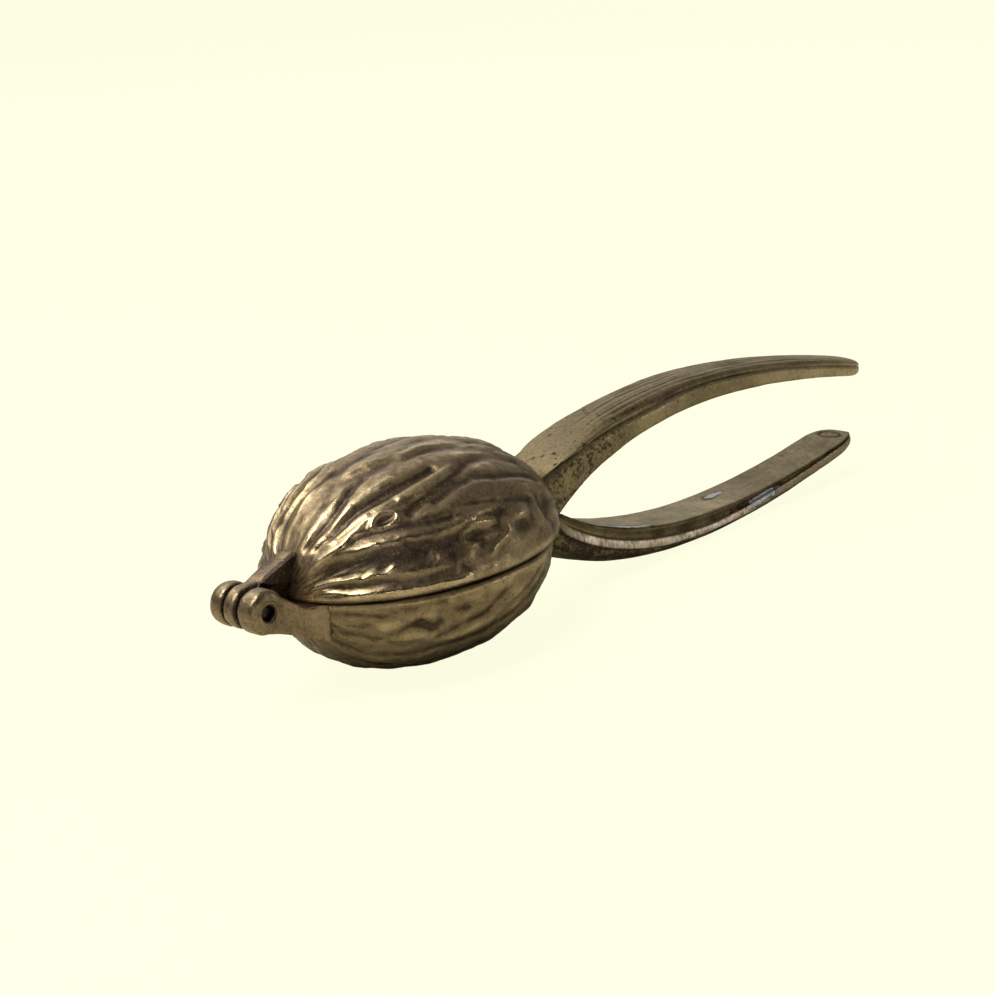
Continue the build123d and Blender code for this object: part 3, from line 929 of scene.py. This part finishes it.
def worn_casting(node, body, height):
    """A CAD hinge part with its edges softened as cast and worn."""
    piece = softened(node, height)
    mesh = piece.data
    normals = mesh_values(mesh, "normal") @ TIP
    x, y, z = drawn(mesh_values(mesh, "co")).T
    from_axis = np.hypot(x - AXIS[0], z - AXIS[2])
    shrink = barrel_shrink(node, y, from_axis)
    x = AXIS[0] + (x - AXIS[0]) * shrink
    z = AXIS[2] + (z - AXIS[2]) * shrink

    # Lumps of the casting, and a ring with a groove round it about the pin's near end.
    lumps = 0.10 * noise(x / 1.7, y / 1.7, z / 1.7) + 0.03 * noise(x / 0.6, y / 0.6, z / 0.6)
    lumps *= fade(from_axis, 1.5, 2.3)
    near_face = fade(y, -5.2, -5.45)
    lumps += near_face * 0.14 * line(from_axis - 1.85, 0.22)
    lumps -= near_face * 0.12 * line(from_axis - 2.4, 0.2)
    points = np.stack([x, y, z], axis=-1) + normals * lumps[:, None]
    if node == "lower_hinge_lug":
        spread_root(points, x, y, height)
    mesh.vertices.foreach_set("co", place(points).ravel())

    wear = 3.0 * lumps - 1.0 * fade(from_axis, 2.0, 1.4)
    if node == "upper_hinge_knuckle":
        # Patina and painted shade on the knuckle's near side face.
        wear -= 1.45 * fade(from_axis, 3.0, 3.8) * fade(y, -0.6, -1.1)
        wear -= 0.45 * fade(from_axis, 4.2, 6.0)
    # Painted shade in the gaps between the barrels, at the ends of each one.
    for low, high, _, _ in LOBES[node]:
        near_end = np.minimum(np.abs(y - low), np.abs(y - high))
        grime_and_gap_shade = fade(near_end, np.where(y > 0.6, 0.45, 0.8), 0.1)
        wear -= 1.2 * grime_and_gap_shade * (np.abs(y) < 3) * fade(from_axis, 5.2, 4.6)
    add_layer(mesh, "wear", wear)
    mesh.shade_smooth()
    mesh.materials.clear()
    mesh.materials.append(HINGE_BRASS)
    join_model(piece, node, body)


PIN_SIDES = 48
# How far inside the pin's end its profile is measured from.
PIN_END = 0.3
# The near end of the pin, from its middle to its flank: radius, then height over that plane.
PIN_PROFILE = ((0.0, 0.30), (0.45, 0.27), (0.85, 0.16), (1.15, 0.02), (1.30, -0.16), (1.35, -0.40))


def pin():
    """The hinge pin, its ends peened to low domes."""
    low, high = (corner[1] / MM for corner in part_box("hinge_pin"))
    profile = [(radius, low - rise + PIN_END) for radius, rise in PIN_PROFILE]
    profile += [(radius, high + low - along + FAR_DOME) for radius, along in reversed(profile)]
    points = []
    for radius, along in profile:
        for step in range(PIN_SIDES):
            angle = 2 * math.pi * step / PIN_SIDES
            reach = radius * (1 + 0.03 * math.sin(3 * angle + along))
            points.append((AXIS[0] + reach * math.cos(angle), along, AXIS[2] + reach * math.sin(angle)))
    nodes = Nodes("pin_metal")
    grime_and_gap_shade = nodes.noise(900, 4)
    dirt = nodes.span(grime_and_gap_shade, 0.35, 0.65, 0.0, 1.0)
    color = nodes.mix(dirt, rgb(0.012, 0.010, 0.012), rgb(0.055, 0.042, 0.030))
    normal = nodes.bump(nodes.noise(2500, 3), 0.04 * MM)
    material = nodes.finish(color, nodes.span(grime_and_gap_shade, 0.3, 0.7, 0.55, 0.4), normal, 0.8)
    faces = grid_faces(len(profile), PIN_SIDES)
    add_piece("hinge_pin", np.array(points), faces, "lower_jaw", "pin_metal", material)


# ------------------------------------------------------------
# The object
# ------------------------------------------------------------
shell("upper_shell", 1, UPPER_HEIGHT, "upper_jaw", "upper_brass", UPPER_BRASS)
shell("lower_shell", -1, LOWER_DEPTH, "lower_jaw", "lower_brass", LOWER_BRASS)
handle("upper_handle", 1, UPPER_HEIGHT, "upper_jaw", "upper_brass")
handle("lower_handle", -1, LOWER_DEPTH, "lower_jaw", "lower_brass")
worn_casting("lower_hinge_lug", "lower_jaw", LOWER_DEPTH)
worn_casting("upper_hinge_knuckle", "upper_jaw", UPPER_HEIGHT)
pin()

# ------------------------------------------------------------
# Stage: pale floor and backdrop, soft lights, camera
# ------------------------------------------------------------
PALE = rgb(1.0, 1.0, 0.78)
FLOOR_SIZE = 12.0


def stage():
    """A large floor that looks evenly pale to the camera and is duller to the brass."""
    mesh = bpy.data.meshes.new("floor")
    corners = [(x * FLOOR_SIZE / 2, y * FLOOR_SIZE / 2, 0) for x, y in ((-1, -1), (1, -1), (1, 1), (-1, 1))]
    mesh.from_pydata(corners, [], [(0, 1, 2, 3)])
    floor = bpy.data.objects.new("floor", mesh)
    bpy.context.scene.collection.objects.link(floor)
    material = bpy.data.materials.new("floor")
    material.use_nodes = True
    tree = material.node_tree
    tree.nodes.clear()
    glow = tree.nodes.new("ShaderNodeEmission")
    glow.inputs["Color"].default_value = PALE
    glow.inputs["Strength"].default_value = 0.96
    film = tree.nodes.new("ShaderNodeBsdfDiffuse")
    film.inputs["Color"].default_value = rgb(0.07, 0.07, 0.045)
    paint = tree.nodes.new("ShaderNodeBsdfDiffuse")
    paint.inputs["Color"].default_value = rgb(0.56, 0.54, 0.44)
    both = tree.nodes.new("ShaderNodeAddShader")
    path = tree.nodes.new("ShaderNodeLightPath")
    choose = tree.nodes.new("ShaderNodeMixShader")
    output = tree.nodes.new("ShaderNodeOutputMaterial")
    tree.links.new(glow.outputs[0], both.inputs[0])
    tree.links.new(film.outputs[0], both.inputs[1])
    tree.links.new(path.outputs["Is Camera Ray"], choose.inputs[0])
    tree.links.new(paint.outputs[0], choose.inputs[1])
    tree.links.new(both.outputs[0], choose.inputs[2])
    tree.links.new(choose.outputs[0], output.inputs[0])
    mesh.materials.append(material)


def surroundings():
    """Pale backdrop for the camera; a dim studio for what the brass reflects."""
    world = bpy.data.worlds.new("studio")
    bpy.context.scene.world = world
    world.use_nodes = True
    tree = world.node_tree
    tree.nodes.clear()
    seen = tree.nodes.new("ShaderNodeBackground")
    seen.inputs["Color"].default_value = PALE
    lit = tree.nodes.new("ShaderNodeBackground")
    direction = tree.nodes.new("ShaderNodeTexCoord")
    toward = tree.nodes.new("ShaderNodeVectorMath")
    toward.operation = "DOT_PRODUCT"
    toward.inputs[1].default_value = (0.45, 0.80, 0.40)
    ramp = tree.nodes.new("ShaderNodeValToRGB")
    ramp.color_ramp.elements[0].position = 0.15
    ramp.color_ramp.elements[0].color = rgb(0.03, 0.027, 0.022)
    ramp.color_ramp.elements[1].position = 0.95
    ramp.color_ramp.elements[1].color = rgb(0.42, 0.39, 0.34)
    shift = tree.nodes.new("ShaderNodeMapRange")
    shift.inputs["From Min"].default_value = -1
    path = tree.nodes.new("ShaderNodeLightPath")
    choose = tree.nodes.new("ShaderNodeMixShader")
    output = tree.nodes.new("ShaderNodeOutputWorld")
    tree.links.new(direction.outputs["Generated"], toward.inputs[0])
    tree.links.new(toward.outputs["Value"], shift.inputs["Value"])
    tree.links.new(shift.outputs["Result"], ramp.inputs["Fac"])
    tree.links.new(ramp.outputs["Color"], lit.inputs["Color"])
    tree.links.new(path.outputs["Is Camera Ray"], choose.inputs[0])
    tree.links.new(lit.outputs[0], choose.inputs[1])
    tree.links.new(seen.outputs[0], choose.inputs[2])
    tree.links.new(choose.outputs[0], output.inputs[0])


LAMP_TARGET = (0.02, 0, CENTRE_HEIGHT * MM)
# The camera's turns and roll in degrees, and its place along its own axes in millimetres.
AZIMUTH = math.radians(-44.96)
ELEVATION = math.radians(16.45)
ROLL = math.radians(3.7)
CAMERA_PLACE = (14.58, 9.60, 407.2)
SENSOR_WIDTH = 36
LENS = 84.18


def softbox(name, direction, distance, size, power, color=(1, 0.96, 0.9)):
    """A square soft light out along a direction, facing the walnut."""
    light = bpy.data.lights.new(name, "AREA")
    light.shape = "RECTANGLE"
    light.size, light.size_y = size
    light.energy = power
    light.color = color
    lamp = bpy.data.objects.new(name, light)
    bpy.context.scene.collection.objects.link(lamp)
    way = np.array(direction) / np.linalg.norm(direction)
    lamp.location = Vector(way * distance) + Vector(LAMP_TARGET)
    lamp.rotation_euler = Vector(way).to_track_quat("Z", "Y").to_euler()


def view():
    """The viewing angle, as turns about the walnut, and the long lens."""
    level = math.cos(ELEVATION)
    away = np.array([math.sin(AZIMUTH) * level, -math.cos(AZIMUTH) * level, math.sin(ELEVATION)])
    right = np.array([math.cos(AZIMUTH), math.sin(AZIMUTH), 0])
    up = np.cross(away, right)
    turned_right = math.cos(ROLL) * right - math.sin(ROLL) * up
    turned_up = math.sin(ROLL) * right + math.cos(ROLL) * up
    axes = np.stack([turned_right, turned_up, away], axis=1)
    where = place(axes @ CAMERA_PLACE)
    axes = TIP @ axes
    data = bpy.data.cameras.new("camera")
    data.sensor_width = SENSOR_WIDTH
    data.lens = LENS
    data.clip_start = 0.01
    data.clip_end = 50
    camera = bpy.data.objects.new("camera", data)
    bpy.context.scene.collection.objects.link(camera)
    camera.matrix_world = Matrix.Translation(where.tolist()) @ Matrix(axes.tolist()).to_4x4()
    bpy.context.scene.camera = camera


stage()
surroundings()
softbox("overhead", (-0.50, -0.05, 0.86), 0.6, (0.28, 0.28), 3.9)
softbox("ceiling", (-0.15, 0.60, 0.78), 0.8, (0.60, 0.50), 2.6)
softbox("low_front", (-0.42, -0.87, 0.10), 0.7, (0.10, 0.06), 0.24)
softbox("low_right", (0.68, -0.74, 0.12), 0.7, (0.12, 0.06), 0.30)
softbox("back", (0.60, 0.70, 0.45), 0.9, (0.7, 0.4), 0.7)
view()
bpy.context.scene.view_settings.view_transform = "Standard"
